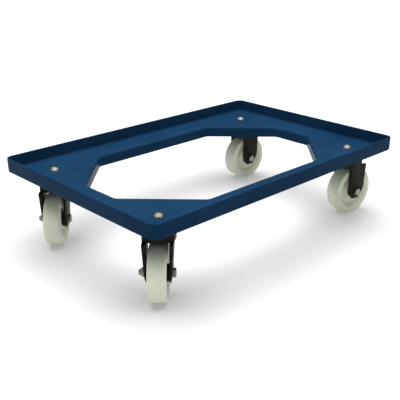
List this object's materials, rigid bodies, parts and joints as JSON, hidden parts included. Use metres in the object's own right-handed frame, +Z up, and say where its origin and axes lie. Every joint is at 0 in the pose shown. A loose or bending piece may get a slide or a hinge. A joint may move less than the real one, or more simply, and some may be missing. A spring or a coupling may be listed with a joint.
{
  "type": "crate dolly",
  "caption": "Open moulded dolly deck with a raised rim that holds a 600 x 400 stacking crate, on swivel casters with nylon wheels and plastic forks.",
  "frame": {"origin": "on the floor, under the middle of the deck", "axes": "+X along the deck's long side, +Y along its short side, +Z up"},
  "size_m": [0.61, 0.41, 0.1585],
  "materials": {
    "deck_plastic": "blue moulded polypropylene, smooth with a soft gloss",
    "fork_plastic": "black glass-filled nylon, satin",
    "wheel_nylon": "natural white cast nylon, satin",
    "zinc_steel": "bright zinc plated",
    "race_steel": "ground bearing steel",
    "bush_plastic": "dark acetal bush"
  },
  "bodies": {
    "deck": {"deck_frame": "deck_plastic", "mount_bolt_front_left": "zinc_steel", "mount_nut_front_left": "zinc_steel", "kingpin_front_left": "zinc_steel", "swivel_head_front_left": "fork_plastic", "mount_bolt_front_right": "zinc_steel", "mount_nut_front_right": "zinc_steel", "kingpin_front_right": "zinc_steel", "swivel_head_front_right": "fork_plastic", "mount_bolt_rear_left": "zinc_steel", "mount_nut_rear_left": "zinc_steel", "kingpin_rear_left": "zinc_steel", "swivel_head_rear_left": "fork_plastic", "mount_bolt_rear_right": "zinc_steel", "mount_nut_rear_right": "zinc_steel", "kingpin_rear_right": "zinc_steel", "swivel_head_rear_right": "fork_plastic"},
    "caster_front_left": {"race_ring_front_left": "race_steel", "bearing_balls_front_left": "race_steel", "fork_front_left": "fork_plastic", "axle_bolt_front_left": "zinc_steel", "axle_nut_front_left": "zinc_steel", "axle_sleeve_front_left": "race_steel"},
    "roller_front_left": {"wheel_front_left": "wheel_nylon", "hub_bush_front_left": "bush_plastic"},
    "caster_front_right": {"race_ring_front_right": "race_steel", "bearing_balls_front_right": "race_steel", "fork_front_right": "fork_plastic", "axle_bolt_front_right": "zinc_steel", "axle_nut_front_right": "zinc_steel", "axle_sleeve_front_right": "race_steel"},
    "roller_front_right": {"wheel_front_right": "wheel_nylon", "hub_bush_front_right": "bush_plastic"},
    "caster_rear_left": {"race_ring_rear_left": "race_steel", "bearing_balls_rear_left": "race_steel", "fork_rear_left": "fork_plastic", "axle_bolt_rear_left": "zinc_steel", "axle_nut_rear_left": "zinc_steel", "axle_sleeve_rear_left": "race_steel"},
    "roller_rear_left": {"wheel_rear_left": "wheel_nylon", "hub_bush_rear_left": "bush_plastic"},
    "caster_rear_right": {"race_ring_rear_right": "race_steel", "bearing_balls_rear_right": "race_steel", "fork_rear_right": "fork_plastic", "axle_bolt_rear_right": "zinc_steel", "axle_nut_rear_right": "zinc_steel", "axle_sleeve_rear_right": "race_steel"},
    "roller_rear_right": {"wheel_rear_right": "wheel_nylon", "hub_bush_rear_right": "bush_plastic"}
  },
  "joints": [
    {"name": "swivel_front_left", "type": "hinge", "parent": "deck", "child": "caster_front_left", "pos_m": [-0.2425, -0.1425, 0.047], "axis": [0, 0, 1], "continuous": true},
    {"name": "roll_front_left", "type": "hinge", "parent": "caster_front_left", "child": "roller_front_left", "pos_m": [-0.25185, -0.15153, 0.047], "axis": [0.6947, -0.7193, 0], "continuous": true},
    {"name": "swivel_front_right", "type": "hinge", "parent": "deck", "child": "caster_front_right", "pos_m": [0.2425, -0.1425, 0.047], "axis": [0, 0, 1], "continuous": true},
    {"name": "roll_front_right", "type": "hinge", "parent": "caster_front_right", "child": "roller_front_right", "pos_m": [0.25537, -0.14431, 0.047], "axis": [0.1392, 0.9903, 0], "continuous": true},
    {"name": "swivel_rear_left", "type": "hinge", "parent": "deck", "child": "caster_rear_left", "pos_m": [-0.2425, 0.1425, 0.047], "axis": [0, 0, 1], "continuous": true},
    {"name": "roll_rear_left", "type": "hinge", "parent": "caster_rear_left", "child": "roller_rear_left", "pos_m": [-0.25169, 0.13331, 0.047], "axis": [0.7071, -0.7071, 0], "continuous": true},
    {"name": "swivel_rear_right", "type": "hinge", "parent": "deck", "child": "caster_rear_right", "pos_m": [0.2425, 0.1425, 0.047], "axis": [0, 0, 1], "continuous": true},
    {"name": "roll_rear_right", "type": "hinge", "parent": "caster_rear_right", "child": "roller_rear_right", "pos_m": [0.25547, 0.14159, 0.047], "axis": [0.0698, 0.9976, 0], "continuous": true}
  ]
}
